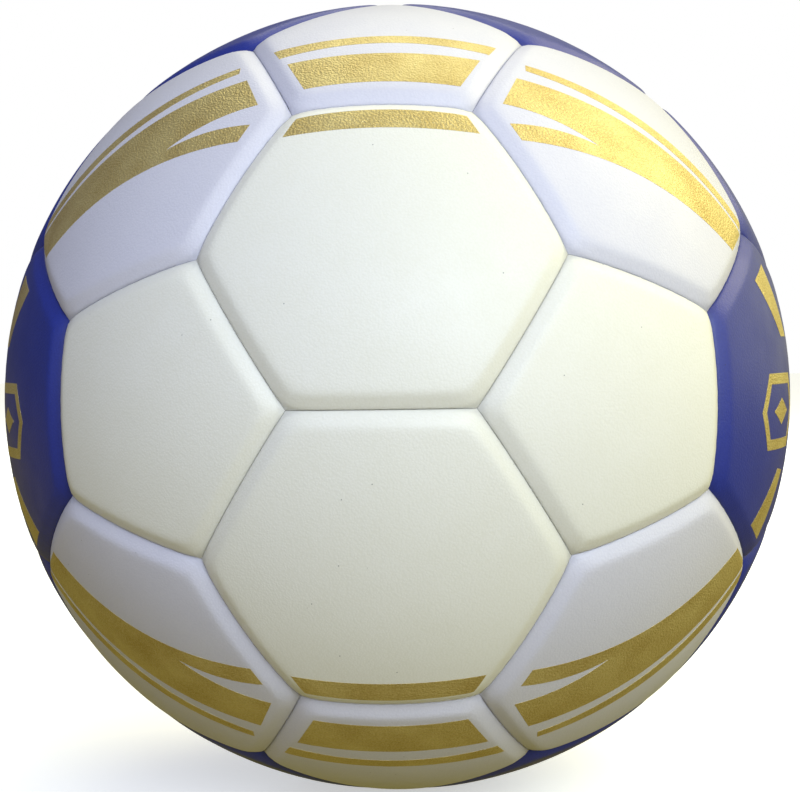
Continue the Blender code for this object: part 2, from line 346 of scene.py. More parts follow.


# %% [markdown]
# ## Leather
# The panels are polyurethane-coated synthetic leather: a soft plastic skin, embossed with a fine
# pebble grain by a heated roller. The coating gives a satin gloss and the grain breaks it up. Shade is
# painted into the colour between the pebbles and beside the seams, where it is mixed with dust, and
# there are specks of dirt. The grain is a Voronoi pattern, whose cells look like pebbles, with a
# wandering noise so that no two are alike.

# %% Coated leather
PEBBLE, PEBBLE_HEIGHT = 0.48, 0.05  # mm
PORE, PORE_HEIGHT = 0.17, 0.02  # mm, the finest wrinkles on a pebble
MOTTLE, MOTTLE_SHADE = 9.0, 0.35  # mm, slow change of tone, and how much of the shade it brings
# painted shade: how much darker the colour is between the pebbles
PAINTED_VALLEY_SHADE = 0.16  # between the pebbles
# painted shade mixed with dust: how much the colour darkens in the groove beside a seam
SEAM_DUST_AND_SHADE = 0.25
SPECK = 5.5  # mm, from one speck of dirt to the next
SPECK_RADIUS, SPECK_DARKNESS = (0.018, 0.03), 0.75  # its dark middle and its rim, of the distance to the next


def pebble_grain(tree, coordinates):
    """Height of the embossed pebbles, from 0 to 1, the same on the leather and on the foil over it."""
    wander = add_node(tree, "TexNoise", pattern(coordinates, PEBBLE * 2, Detail=2.0))
    shift = {0: wander.outputs["Color"], 1: (PEBBLE * MM,) * 3, 2: coordinates}
    moved = add_node(tree, "VectorMath", shift, operation="MULTIPLY_ADD")
    cells = add_node(tree, "TexVoronoi", pattern(moved, PEBBLE, Smoothness=0.5), feature="SMOOTH_F1")
    return add_node(tree, "MapRange", remap(cells, 0.1, 0.75, 1.0, 0.0))


def coated_leather(name, hex_colour, hex_shade, hex_dirt_and_shade, roughness):
    """Embossed coated leather: its colour, a darker tone for its mottle and for the shade painted between the
    pebbles, and the colour of dirt specks and of the painted shade with dust by the seams.
    """
    material, tree, coordinates = new_material(name)
    grain = pebble_grain(tree, coordinates)
    mottle = add_node(tree, "TexNoise", pattern(coordinates, MOTTLE, Detail=4.0))
    pore = add_node(tree, "TexNoise", pattern(coordinates, PORE, Detail=2.0))

    tone = add_node(tree, "Math", {0: mottle, 1: MOTTLE_SHADE}, operation="MULTIPLY")
    # painted shade in the hollows of the grain
    painted_valley_shade = add_node(tree, "MapRange", remap(grain, 0.0, 0.7, PAINTED_VALLEY_SHADE, 0.0))
    shade = add_node(tree, "Math", {0: tone, 1: painted_valley_shade}, operation="ADD")
    tones = {"Factor": shade, "A": linear(hex_colour), "B": linear(hex_shade)}
    colour = add_node(tree, "Mix", tones, data_type="RGBA")

    # painted shade with dust: the colour darkens towards each seam, where the groove lies in shade; dark specks
    # of dirt are scattered over it
    groove = add_node(tree, "Attribute", attribute_name="groove").outputs["Fac"]
    seam_dust_and_shade = add_node(tree, "Math", {0: groove, 1: SEAM_DUST_AND_SHADE}, operation="MULTIPLY")
    speckle = add_node(tree, "TexVoronoi", pattern(coordinates, SPECK))
    inner, outer = SPECK_RADIUS
    speck = add_node(tree, "MapRange", remap(speckle, inner, outer, SPECK_DARKNESS, 0.0))
    dirt_and_shade = add_node(tree, "Math", {0: seam_dust_and_shade, 1: speck}, operation="MAXIMUM")
    soiled_and_shaded = {"Factor": dirt_and_shade, "A": colour, "B": linear(hex_dirt_and_shade)}
    dirtied_and_shaded = add_node(tree, "Mix", soiled_and_shaded, data_type="RGBA")

    gloss = add_node(tree, "MapRange", remap(mottle, 0.3, 0.7, roughness - 0.04, roughness + 0.05))
    pebbles = add_node(tree, "Bump", {"Height": grain, "Strength": 0.45, "Distance": PEBBLE_HEIGHT * MM})
    wrinkles = {"Height": pore, "Strength": 0.25, "Distance": PORE_HEIGHT * MM, "Normal": pebbles}
    pores = add_node(tree, "Bump", wrinkles)
    skin = {"Base Color": dirtied_and_shaded, "Roughness": gloss, "Normal": pores}
    coat = {"IOR": 1.5, "Coat Weight": 0.12, "Coat Roughness": 0.45}
    finish_material(tree, add_node(tree, "BsdfPrincipled", {**skin, **coat}))
    return material


LEATHERS = {
    "cream": coated_leather("embossed_pu_leather_cream", "#EAEAE5", "#DCDBCC", "#6E7074", 0.46),
    "white": coated_leather("embossed_pu_leather_white", "#D6D6E4", "#C2C3D7", "#5F636E", 0.46),
    "blue": coated_leather("embossed_pu_leather_blue", "#213291", "#182372", "#14153F", 0.42),
}
print("leathers:", [leather.name for leather in LEATHERS.values()])

# %% [markdown]
# ## The leather panels
# Die-cut sheets of coated leather, sewn inside out along their turned-in edges. Each one is built as a
# closed solid with the thickness of the sheet: the puffed outside, the edge that goes down into the
# seam, the lip that the thread goes through, and the underside. The panel at the top of the ball's back
# has a round hole for the valve, where its leather dips a little.

# %% Panels
VALVE_PANEL = "hexagon_cream_back_upper"
BARREL_RADIUS = 4.3 * MM
HOLE_RADIUS = BARREL_RADIUS + LAYER_GAP
HOLE_DIP, DIP_WIDTH = 0.35 * MM, 2.0 * MM
# how far from a seam the painted shade with dust reaches
GROOVE_SHADE_AND_DUST_WIDTH = 0.3 * MM
UNDERSIDE_RINGS = 5
LIP_RADIUS = BALL_RADIUS - LIP_DEPTH
UNDERSIDE_RADIUS = BALL_RADIUS - LEATHER_THICKNESS


def leather_points(panel, directions, lift=0.0):
    """Points on the outside of the leather, or a little above it."""
    depth = surface_depth(panel, directions)
    if panel.node() == VALVE_PANEL:
        from_axis = BALL_RADIUS * np.arccos(np.clip(directions @ np.array(panel.centre), -1, 1))
        depth = depth + HOLE_DIP * np.exp(-np.maximum(from_axis - HOLE_RADIUS, 0) / DIP_WIDTH)
    return directions * (BALL_RADIUS - depth + lift)[:, None]


def make_panel(panel):
    edge = SEAM_GAP / 2
    outlines = [inset_ring(panel, edge + inset * MM) for inset in RIM_RINGS]
    lip = edge + LIP_THICKNESS
    under = inset_ring(panel, lip)
    if panel.node() == VALVE_PANEL:
        outside = outlines + rings_to_hole(panel, outlines[-1], HOLE_RADIUS)
        inside = rings_to_hole(panel, under, HOLE_RADIUS)
    else:
        outside = outlines + rings_to_middle(panel, outlines[-1])
        inside = rings_to_middle(panel, under, UNDERSIDE_RINGS)
    rings = [leather_points(panel, ring) for ring in reversed(outside)]
    rings += [outlines[0] * LIP_RADIUS, under * LIP_RADIUS, under * UNDERSIDE_RADIUS]
    rings += [ring * UNDERSIDE_RADIUS for ring in inside]
    if panel.node() == VALVE_PANEL:
        rings.append(rings[0])
    bm = bmesh.new()
    bridge(bm, rings)
    colour = panel.colour()
    piece = finish_piece(panel.node() + "_leather", bm, LEATHERS[colour], [panel.node()])
    directions = normalised(points_of(piece))
    # painted shade with dust: 1 at the seam, falling off inside the panel
    add_number(piece, "groove", np.exp(-np.maximum(distance_inside(panel, directions), 0) / GROOVE_SHADE_AND_DUST_WIDTH))
    return piece


panel_pieces = {panel.node(): make_panel(panel) for panel in PANELS}
cover_points = np.concatenate([points_of(piece) for piece in panel_pieces.values()])
print("leather panels:", len(panel_pieces), " points:", len(cover_points))

# %% [markdown]
# ## Gold foil
# The bands are hot-stamped: a heated die presses a metal foil onto the flat leather before it is sewn,
# so the foil is a few hundredths of a millimetre thick and the pebbles show through it. Each print is
# a thin closed sheet here, laid on the surface formula, so that it follows the panel into the seam.
# Painting it into the leather's material would need an image or a mask for every shape.
#
# Foil is metal under a clear lacquer, rough on the scale of the grain. The pebbles catch the light one
# by one, which is why it glitters. The gold is pale where the foil is thick and deeper where it's thin.

# %% Stamped foil
FOIL_LIFT = 0.04 * MM
FOIL_CELL, FEWEST_STEPS = 0.7 * MM, 8
SAME_DIRECTION = 1e-5
FOIL_FLAKE, FLAKE_HEIGHT = 0.35, 0.1  # mm
FOIL_RELIEF = 2.1  # the pebbles under the foil are drawn deeper than they are, so that their glitter shows
PRINT_SLIP = (-0.0105, -0.0090)  # ball radii
GOLD, GOLD_DEEP = "#E1D091", "#BFA663"


def stamped_foil():
    material, tree, coordinates = new_material("hot_stamped_gold_foil")
    grain = pebble_grain(tree, coordinates)
    mottle = add_node(tree, "TexNoise", pattern(coordinates, MOTTLE, Detail=5.0))
    flake = add_node(tree, "TexNoise", pattern(coordinates, FOIL_FLAKE, Detail=3.0))
    tone = add_node(tree, "Math", {0: mottle, 1: flake}, operation="MULTIPLY")
    spread = add_node(tree, "MapRange", {"Value": tone, "From Min": 0.1, "From Max": 0.42})
    tones = {"Factor": spread, "A": linear(GOLD), "B": linear(GOLD_DEEP)}
    colour = add_node(tree, "Mix", tones, data_type="RGBA")
    gloss = add_node(tree, "MapRange", remap(flake, 0.3, 0.7, 0.36, 0.5))
    relief = {"Height": grain, "Strength": 1.0, "Distance": FOIL_RELIEF * PEBBLE_HEIGHT * MM}
    pebbles = add_node(tree, "Bump", relief)
    glitter = {"Height": flake, "Strength": 0.6, "Distance": FLAKE_HEIGHT * MM, "Normal": pebbles}
    flakes = add_node(tree, "Bump", glitter)
    metal = {"Base Color": colour, "Metallic": 0.6, "Roughness": gloss, "Normal": flakes}
    lacquer = {"Coat Weight": 0.25, "Coat Roughness": 0.4}
    finish_material(tree, add_node(tree, "BsdfPrincipled", {**metal, **lacquer}))
    return material


FOIL = stamped_foil()


def arc(points, span, steps):
    """Evenly spaced points along part of the curve through three points, each (x, z) in ball radii."""
    a, b, c = (np.array(p) for p in points)
    t = np.linspace(*span, steps + 1)[:, None]
    share = np.linalg.norm(b - a) / (np.linalg.norm(b - a) + np.linalg.norm(c - b))
    bend = (b - a * (1 - share) ** 2 - c * share**2) / (2 * share * (1 - share))
    return a * (1 - t) ** 2 + 2 * bend * t * (1 - t) + c * t**2


def front_grid(upper, lower, upper_span=(0, 1), lower_span=(0, 1), cells=None):
    """Rows of (x, z) points from one arc to another. Parts of a band that meet are given the same cells."""
    top, bottom = arc(upper, upper_span, FEWEST_STEPS), arc(lower, lower_span, FEWEST_STEPS)
    long = np.linalg.norm(np.diff(top, axis=0), axis=1).sum() * BALL_RADIUS
    wide = np.linalg.norm(top - bottom, axis=1).max() * BALL_RADIUS
    steps, rows = cells or (max(int(long / FOIL_CELL), FEWEST_STEPS), max(int(wide / FOIL_CELL), 2))
    a, b = arc(upper, upper_span, steps), arc(lower, lower_span, steps)
    return [a + (b - a) * row / rows for row in range(rows + 1)]


def on_ball(flat):
    """Directions of (x, z) points on the side of the ball that faces the front."""
    x, z = flat.T
    return np.stack([x, -np.sqrt(np.maximum(1 - x * x - z * z, 0)), z], axis=1)


# Arcs in the front view, in ball radii, for the top right quarter. Each pair bounds one band. The white
# hexagon's band forks towards the middle of the ball, so it is drawn in four parts around the fork.
CREAM_BANDS = [([(-0.185, 0.625), (0, 0.640), (0.185, 0.625)], [(-0.212, 0.582), (0, 0.597), (0.212, 0.582)])]
PENTAGON_BANDS = [
    ([(-0.217, 0.768), (0, 0.787), (0.217, 0.768)], [(-0.172, 0.697), (0, 0.710), (0.172, 0.697)]),
    ([(-0.255, 0.808), (0, 0.838), (0.255, 0.808)], [(-0.238, 0.786), (0, 0.817), (0.238, 0.786)]),
]
OUTER_EDGE = [(0.308, 0.733), (0.608, 0.605), (0.838, 0.392)]
INNER_EDGE = [(0.313, 0.578), (0.600, 0.498), (0.803, 0.348)]
FORK = (0.487, 0.572)
FORK_UPPER, FORK_LOWER = [(0.274, 0.665), (0.418, 0.615), FORK], [(0.288, 0.617), (0.413, 0.600), FORK]
BAND_MIDDLE = [FORK, (0.668, 0.487), (0.820, 0.370)]
WHITE_BANDS = [
    (OUTER_EDGE, FORK_UPPER, (0, 0.36), (0, 1), (32, 12)),
    (OUTER_EDGE, BAND_MIDDLE, (0.36, 1), (0, 1), (56, 12)),
    (FORK_LOWER, INNER_EDGE, (0, 1), (0, 0.34), (32, 6)),
    (BAND_MIDDLE, INNER_EDGE, (0, 1), (0.34, 1), (56, 6)),
    ([(0.330, 0.771), (0.605, 0.647), (0.844, 0.417)], [(0.330, 0.755), (0.600, 0.627), (0.836, 0.403)]),
]


def print_place(x_sign, z_sign):
    """The die never lands twice alike: two of the four prints lie closer to the middle of the ball."""
    return np.array(PRINT_SLIP) if x_sign * z_sign > 0 else np.zeros(2)


def panel_at(direction):
    return max(PANELS, key=lambda panel: panel.centre.dot(direction))


def stamp(panel, grids, name):
    """One thin closed sheet: cells above, the same cells below, and walls along the outline."""
    bm = bmesh.new()
    for grid in grids:
        rows = [[bm.verts.new(p) for p in row] for row in grid]
        for a, b in pairwise(rows):
            for (p, q), (s, t) in zip(pairwise(a), pairwise(b)):
                bm.faces.new((p, q, t, s))
    bmesh.ops.remove_doubles(bm, verts=bm.verts, dist=SAME_DIRECTION)
    bm.normal_update()
    for face in bm.faces:
        if face.normal.dot(face.calc_center_median()) < 0:
            face.normal_flip()
    above, cells = list(bm.verts), list(bm.faces)
    outline = [edge.link_loops[0] for edge in bm.edges if len(edge.link_loops) == 1]
    directions = normalised(np.array([vert.co for vert in above]))
    below = {vert: bm.verts.new(p) for vert, p in zip(above, leather_points(panel, directions, -FOIL_LIFT))}
    for vert, p in zip(above, leather_points(panel, directions, FOIL_LIFT)):
        vert.co = p
    for face in cells:
        bm.faces.new([below[vert] for vert in reversed(face.verts)])
    for loop in outline:
        a, b = loop.vert, loop.link_loop_next.vert
        bm.faces.new([b, a, below[a], below[b]])
    return finish_piece(name, bm, FOIL)


foil_pieces = []
for depth_sign in (1, -1):
    for height_sign in (1, -1):
        for bands, sides in ((CREAM_BANDS, (1,)), (PENTAGON_BANDS, (1,)), (WHITE_BANDS, (1, -1))):
            for side_sign in sides:
                signs = (side_sign, depth_sign, height_sign)
                slip = print_place(side_sign, height_sign) if bands is WHITE_BANDS else 0
                grids = [[on_ball(row + slip) * np.array(signs) for row in front_grid(*band)] for band in bands]
                panel = panel_at(Vector(np.mean(grids[0], axis=(0, 1))))
                foil_pieces.append(stamp(panel, grids, panel.node() + "_foil_bands"))
print("foil prints:", len(foil_pieces))

# %% [markdown]
# ## Foil on the blue side panels
# Two short strokes and a plain hexagon ring with a lozenge in it. They go round the side of the ball,
# so they are drawn by directions in three dimensions and not in the front view.

# %% Side prints
STROKES = [
    [(0.886, -0.340, 0.315), (0.853, -0.445, 0.273), (0.933, -0.331, 0.142), (0.957, -0.251, 0.142)],
    [(0.939, -0.294, -0.180), (0.919, -0.355, -0.173), (0.837, -0.459, -0.298), (0.865, -0.367, -0.341)],
]
EMBLEM_MIDDLE = (0.926, -0.375, -0.035)
RING_HALF_LENGTH, RING_HALF_HEIGHT, RING_STROKE = 15 * MM, 8.5 * MM, 2.4 * MM
LOZENGE_HALF_LENGTH, LOZENGE_HALF_HEIGHT = 6.5 * MM, 3.0 * MM
BLUNT = 0.3 * MM


def stroke_grid(corners):
    """A grid of directions that fills a four-cornered stroke."""
    a, b, c, d = (np.array(p) for p in corners)
    steps = int(np.linalg.norm(c - b) * BALL_RADIUS / FOIL_CELL)
    rows = int(np.linalg.norm(b - a) * BALL_RADIUS / FOIL_CELL)
    t = np.linspace(0, 1, steps + 1)[:, None]
    near, far = a + (d - a) * t, b + (c - b) * t
    return [normalised(near + (far - near) * row / rows) for row in range(rows + 1)]


def emblem_directions(outline):
    """Directions of (along, up) points in the plane that touches the ball at the emblem's middle."""
    centre = Vector(EMBLEM_MIDDLE).normalized()
    along = Vector((0, 0, 1)).cross(centre).normalized()
    up = centre.cross(along)
    flat = np.array(outline) / BALL_RADIUS
    return normalised(np.array(centre) + np.outer(flat[:, 0], along) + np.outer(flat[:, 1], up))


def long_hexagon(half_length, half_height, steps):
    """Points round a hexagon with a corner at each end, starting and ending at the same one."""
    shoulder = half_length - half_height / sqrt(3)
    corners = [(half_length, 0), (shoulder, half_height), (-shoulder, half_height), (-half_length, 0)]
    corners += [(-x, -y) for x, y in corners[1:3]] + corners[:1]
    corners = [np.array(p) for p in corners]
    points = [a + (b - a) * i / steps for a, b in pairwise(corners) for i in range(steps)]
    return points + corners[:1]


def ring_grid():
    rows = int(RING_STROKE / FOIL_CELL)
    insets = [RING_STROKE * row / rows for row in range(rows + 1)]
    steps = int(RING_HALF_LENGTH / FOIL_CELL)
    # a stroke of even width takes more off the length than off the height
    narrower = 2 / sqrt(3)
    sizes = [(RING_HALF_LENGTH - inset * narrower, RING_HALF_HEIGHT - inset) for inset in insets]
    return [emblem_directions(long_hexagon(*size, steps)) for size in sizes]


def lozenge_grid():
    steps, rows = int(2 * LOZENGE_HALF_LENGTH / FOIL_CELL), int(2 * LOZENGE_HALF_HEIGHT / FOIL_CELL)
    x = np.linspace(-LOZENGE_HALF_LENGTH, LOZENGE_HALF_LENGTH, steps + 1)
    height = np.maximum(LOZENGE_HALF_HEIGHT * (1 - np.abs(x) / LOZENGE_HALF_LENGTH), BLUNT)
    levels = np.linspace(1, -1, rows + 1)
    return [emblem_directions(np.stack([x, height * level], axis=1)) for level in levels]


side_grids = [stroke_grid(corners) for corners in STROKES] + [ring_grid(), lozenge_grid()]
for signs in ((1, 1, 1), (-1, 1, 1), (1, -1, 1), (-1, -1, 1)):
    grids = [[row * np.array(signs) for row in grid] for grid in side_grids]
    panel = panel_at(Vector(signs) * Vector((GOLDEN, -1 / GOLDEN, 0)))
    foil_pieces.append(stamp(panel, grids, panel.node() + "_foil_emblem"))
print("foil prints:", len(foil_pieces))

# %% [markdown]
# ## Thread
# Waxed polyester thread. The stitcher joins two panels from behind with a needle at each end of the
# thread, and it shows in the seam as short slanting stitches, pulled down out of reach of the hand.
# Behind the leather it wanders from one lip to the other. Curves with a bevel would make cords too,
# but plain tubes keep the mesh even and cheap: there are about eight hundred stitches.

# %% Stitches
THREAD_RADIUS, END_THINNING, END_POINT = 0.36 * MM, 0.35, 0.6
STITCH_LENGTH, STITCH_SLANT = 3.5 * MM, 0.16 * MM
STITCH_LEVEL, STITCH_DIVE = BALL_RADIUS - 3.2 * MM, 0.9 * MM
STITCH_POINTS, TUBE_SIDES = 7, 8
CORD_LEVEL, CORD_RADIUS = BALL_RADIUS - 4.2 * MM, 0.28 * MM
CORD_SWING, CORD_STEP = 0.55 * MM, 0.8 * MM


def half_of(panel):
    in_front = panel.centre.y < -TINY or (panel.centre.y < TINY and panel.centre.x > 0)
    return "front" if in_front else "back"


def find_seams():
    """Every seam as its two ends and the word for the thread that sews it."""
    seams = {}
    for panel in PANELS:
        for k in range(panel.count):
            key = tuple(round(v, 3) + 0.0 for v in panel.middles[k])
            ends = panel.corners[k], panel.corners[(k + 1) % panel.count]
            seams.setdefault(key, (ends, set()))[1].add(half_of(panel))
    return [(ends, halves.pop() if len(halves) == 1 else "joining") for ends, halves in seams.values()]


def add_tube(bm, centres, radii):
    """A closed tube through points, with its own radius at each."""
    tangents = normalised(np.gradient(centres, axis=0))
    across = normalised(np.cross(tangents, centres))
    up = np.cross(across, tangents)
    turns = np.arange(TUBE_SIDES) * tau / TUBE_SIDES
    rings = [
        centre + radius * (np.outer(np.cos(turns), a) + np.outer(np.sin(turns), u))
        for centre, radius, a, u in zip(centres, radii, across, up)
    ]
    first = centres[:1] - tangents[:1] * radii[0] * END_POINT
    last = centres[-1:] + tangents[-1:] * radii[-1] * END_POINT
    bridge(bm, [first, *rings, last])


def seam_path(ends, along, aside, level):
    """Points at a level, at distances along a seam and to one side of it."""
    a, b = (np.array(end) for end in ends)
    side = np.cross(a, b)
    side /= np.linalg.norm(side)
    forward = np.cross(side, a)
    angle = along / BALL_RADIUS
    directions = np.outer(np.cos(angle), a) + np.outer(np.sin(angle), forward)
    return directions * np.reshape(level, (-1, 1)) + np.outer(aside, side)


def seam_stitches(bm, ends):
    length = ends[0].angle(ends[1]) * BALL_RADIUS
    count = round(length / STITCH_PITCH)
    t = np.linspace(-1, 1, STITCH_POINTS)
    for i in range(count):
        along = length * (i + 0.5) / count + t * STITCH_LENGTH / 2
        # a stitch dives at both ends, where it goes through the lips
        level = STITCH_LEVEL - STITCH_DIVE * t**4
        radii = THREAD_RADIUS * (1 - END_THINNING * t**4)
        add_tube(bm, seam_path(ends, along, STITCH_SLANT * t, level), radii)
    steps = int(length / CORD_STEP)
    along = np.linspace(0, length, steps + 1)
    aside = CORD_SWING * np.sin(pi * along / length * count)
    add_tube(bm, seam_path(ends, along, aside, CORD_LEVEL), [CORD_RADIUS] * (steps + 1))


def waxed_thread():
    """Twisted polyester with wax in its grooves."""
    material, tree, coordinates = new_material("waxed_polyester_thread")
    fibre = add_node(tree, "TexNoise", pattern(coordinates, 0.25, Detail=3.0))
    twists = pattern(coordinates, 0.5 * tau, Distortion=3.0, Detail=1.0)
    twist = add_node(tree, "TexWave", twists, bands_direction="DIAGONAL").outputs["Fac"]
    tones = {"Factor": fibre, "A": linear("#E8E6DC"), "B": linear("#B9B49E")}
    colour = add_node(tree, "Mix", tones, data_type="RGBA")
    strands = add_node(tree, "Bump", {"Height": twist, "Strength": 0.7, "Distance": 0.08 * MM})
    wax = {"Base Color": colour, "Roughness": 0.62, "Normal": strands, "Sheen Weight": 0.15}
    finish_material(tree, add_node(tree, "BsdfPrincipled", wax))
    return material


THREAD = waxed_thread()
seams = find_seams()
for sewer in ("front", "back", "joining"):
    bm = bmesh.new()
    for ends, sewn_by in seams:
        if sewn_by == sewer:
            seam_stitches(bm, ends)
    net = finish_piece(f"stitches_{sewer}", bm, THREAD, [f"seam_thread_{sewer}"])
    print(net.name, "faces:", len(net.data.polygons))

# %% [markdown]
# ## Padded lining
# Behind each leather panel lies a pad of foam with layers of cotton cloth, glued on before sewing. The
# pads crown a little and pull in at their edges, and cloth alone goes on under the seams. The outside
# and the inside are each one surface over the whole ball, made panel by panel from the same rings.

# %% Lining
GROOVE_LEVEL = BALL_RADIUS - 4.8 * MM
PAD_LEVEL = UNDERSIDE_RADIUS - LAYER_GAP
LINING_INSIDE = GROOVE_LEVEL - CLOTH_THICKNESS
PAD_EDGE = LIP_THICKNESS + 1.5 * LAYER_GAP
PAD_RINGS = [0.0, 0.06, 0.2, 0.5, 1.0, 1.8, 3.0, 5.0]  # mm inside the pad's edge
PAD_SHOULDER = 0.9 * MM
PAD_PUCKER = 0.12 * MM
PAD_STEPS = 16
LINING_WELD = 5e-6


def pad_points(panel, inset, directions):
    """The pad rises steeply from its edge, rounds over and stays a little uneven."""
    edge = max(inset - PAD_EDGE, 0)
    rise = (PAD_LEVEL - GROOVE_LEVEL) * (1 - np.exp(-edge / PAD_SHOULDER * 3))
    soft = PAD_PUCKER * (1 + pucker(panel, directions)) / 2 * np.exp(-edge / (2 * PAD_SHOULDER))
    return directions * (GROOVE_LEVEL + rise * (1 - soft / MM))[:, None]


def lining_rings(panel):
    insets = [0, PAD_EDGE / 2] + [PAD_EDGE + step * MM for step in PAD_RINGS]
    outlines = [inset_ring(panel, inset, steps=PAD_STEPS) for inset in insets]
    rings = [pad_points(panel, inset, outline) for inset, outline in zip(insets, outlines)]
    return rings + [ring * PAD_LEVEL for ring in rings_to_middle(panel, outlines[-1])]


def cotton_and_foam():
    """Bleached cotton canvas over foam, with a plain weave and smears of glue."""
    material, tree, coordinates = new_material("glued_cotton_canvas")
    weave = []
    for direction in ("X", "Z"):
        wave = pattern(coordinates, 0.45 * tau, Distortion=0.6, Detail=1.0)
        weave.append(add_node(tree, "TexWave", wave, bands_direction=direction).outputs["Fac"])
    cloth = add_node(tree, "Math", dict(enumerate(weave)), operation="MULTIPLY")
    smear = add_node(tree, "TexNoise", pattern(coordinates, 14, Detail=4.0))
    tones = {"Factor": cloth, "A": linear("#B8B09C"), "B": linear("#DDD8CA")}
    threads = add_node(tree, "Mix", tones, data_type="RGBA")
    glue = add_node(tree, "MapRange", remap(smear, 0.55, 0.75, 0.0, 0.6))
    glued = {"Factor": glue, "A": threads, "B": linear("#C9B27C")}
    colour = add_node(tree, "Mix", glued, data_type="RGBA")
    polish = {"Value": glue, "From Max": 0.6, "To Min": 0.92, "To Max": 0.55}
    gloss = add_node(tree, "MapRange", polish)
    bump = add_node(tree, "Bump", {"Height": cloth, "Strength": 0.6, "Distance": 0.2 * MM})
    canvas = {"Base Color": colour, "Roughness": gloss, "Normal": bump, "Sheen Weight": 0.3}
    finish_material(tree, add_node(tree, "BsdfPrincipled", canvas))
    return material


def make_lining():
    bm = bmesh.new()
    for panel in PANELS:
        outside = lining_rings(panel)
        seam = inset_ring(panel, 0, steps=PAD_STEPS)
        if panel.node() == VALVE_PANEL:
            pad = inset_ring(panel, PAD_EDGE + PAD_RINGS[-1] * MM, steps=PAD_STEPS)
            hole = rings_to_hole(panel, pad, HOLE_RADIUS)
            outside = outside[:-MIDDLE_RINGS] + [ring * PAD_LEVEL for ring in hole]
            inside, wall = rings_to_hole(panel, seam, HOLE_RADIUS), [outside[-1]]
        else:
            inside, wall = rings_to_middle(panel, seam), []
        bridge(bm, outside[::-1])
        bridge(bm, [ring * LINING_INSIDE for ring in [seam, *inside]] + wall)
    bmesh.ops.remove_doubles(bm, verts=bm.verts, dist=LINING_WELD)
    bmesh.ops.recalc_face_normals(bm, faces=bm.faces)
    piece = finish_piece("foam_and_cotton_lining", bm, cotton_and_foam(), ["padded_lining"])
    return piece


lining = make_lining()
print("lining faces:", len(lining.data.polygons))

# %% [markdown]
# ## Turned pieces
# The bladder, its patches and the valve are round about the line through the valve, so one helper
# turns a profile about that line. `bevelled` rounds a profile's corners first, because a moulded edge
# is never sharp.

# %% Turning
VALVE_SIDES = 72
valve_panel = next(panel for panel in PANELS if panel.node() == VALVE_PANEL)
valve_turn = np.array(valve_panel.turn)
CORNER_REACH = 0.4  # the most of a side that the rounding of one corner takes


def bevelled(profile, size, closed=True):
    """(radius, height) points with each corner rounded by this size."""
    rounded = []
    for i, (x, y) in enumerate(profile):
        here = np.array((x, y))
        before, after = np.array(profile[i - 1]), np.array(profile[(i + 1) % len(profile)])
        if not closed and i in (0, len(profile) - 1):
            rounded.append((x, y))
            continue
        reach = [min(size, np.linalg.norm(p - here) * CORNER_REACH) for p in (before, after)]
        start = here + (before - here) / np.linalg.norm(before - here) * reach[0]
        end = here + (after - here) / np.linalg.norm(after - here) * reach[1]
        for t in (0, 0.25, 0.5, 0.75, 1):
            rounded.append(tuple(start * (1 - t) ** 2 + 2 * here * t * (1 - t) + end * t**2))
    return rounded


def cap_arc(radius, inner, outer, steps):
    """Profile points that follow a sphere between two distances from its axis."""
    angles = np.linspace(asin(inner / radius), asin(outer / radius), steps + 1)
    return [(radius * sin(a), radius * cos(a)) for a in angles]


def turned_rings(profile, turn, sides):
    turns = [tau * i / sides for i in range(sides)]
    rings = []
    for radius, height in profile:
        around = turns if radius > TINY else turns[:1]
        rings.append(np.array([(radius * cos(t), radius * sin(t), height) for t in around]) @ turn.T)
    return rings


def turned(name, profile, material, nodes, turn=valve_turn):
    rings = turned_rings(profile, turn, VALVE_SIDES)
    if profile[0][0] > TINY:
        rings.append(rings[0])
    bm = bmesh.new()
    bridge(bm, rings)
    bmesh.ops.recalc_face_normals(bm, faces=bm.faces)
    return finish_piece(name, bm, material, nodes)


# %% [markdown]
# ## Rubber
# The bladder and its patches are butyl rubber, cured in a mould and dusted with talc so that it doesn't
# stick to the lining. The valve is a harder moulded rubber with a satin face. Both are near black with
# a grey bloom, so one function makes both and their numbers differ.

# %% Moulded rubber
def moulded_rubber(name, hex_colour, hex_bloom, bloom_amount, roughness, bump_size):
    material, tree, coordinates = new_material(name)
    bloom = add_node(tree, "TexNoise", pattern(coordinates, 8, Detail=8.0, Roughness=0.65))
    skin = add_node(tree, "TexNoise", pattern(coordinates, bump_size, Detail=3.0))
    amount = add_node(tree, "MapRange", remap(bloom, 0.35, 0.75, 0.0, bloom_amount))
    tones = {"Factor": amount, "A": linear(hex_colour), "B": linear(hex_bloom)}
    colour = add_node(tree, "Mix", tones, data_type="RGBA")
    gloss = add_node(tree, "MapRange", remap(bloom, 0.3, 0.7, roughness - 0.06, roughness + 0.12))
    bump = add_node(tree, "Bump", {"Height": skin, "Strength": 0.4, "Distance": 0.05 * MM})
    rubber = {"Base Color": colour, "Roughness": gloss, "Normal": bump, "IOR": 1.52}
    finish_material(tree, add_node(tree, "BsdfPrincipled", rubber))
    return material


BUTYL = moulded_rubber("talc_dusted_butyl_rubber", "#2B2B2E", "#8F8C84", 0.45, 0.55, 0.6)
VALVE_RUBBER = moulded_rubber("moulded_valve_rubber", "#1D1D20", "#5C5A56", 0.3, 0.46, 0.25)

# %% [markdown]
# ## Bladder, patches and valve
# The bladder is moulded in two halves, which leaves a fine line round its middle, and it is thicker in
# a ring round the valve. A patch inside it carries the valve, and a second one across from it weighs
# the same, so that the ball rolls true. The housing's flange is held in the patch, its barrel comes out
# through the leather, and the core inside has a slit for the pump's needle.

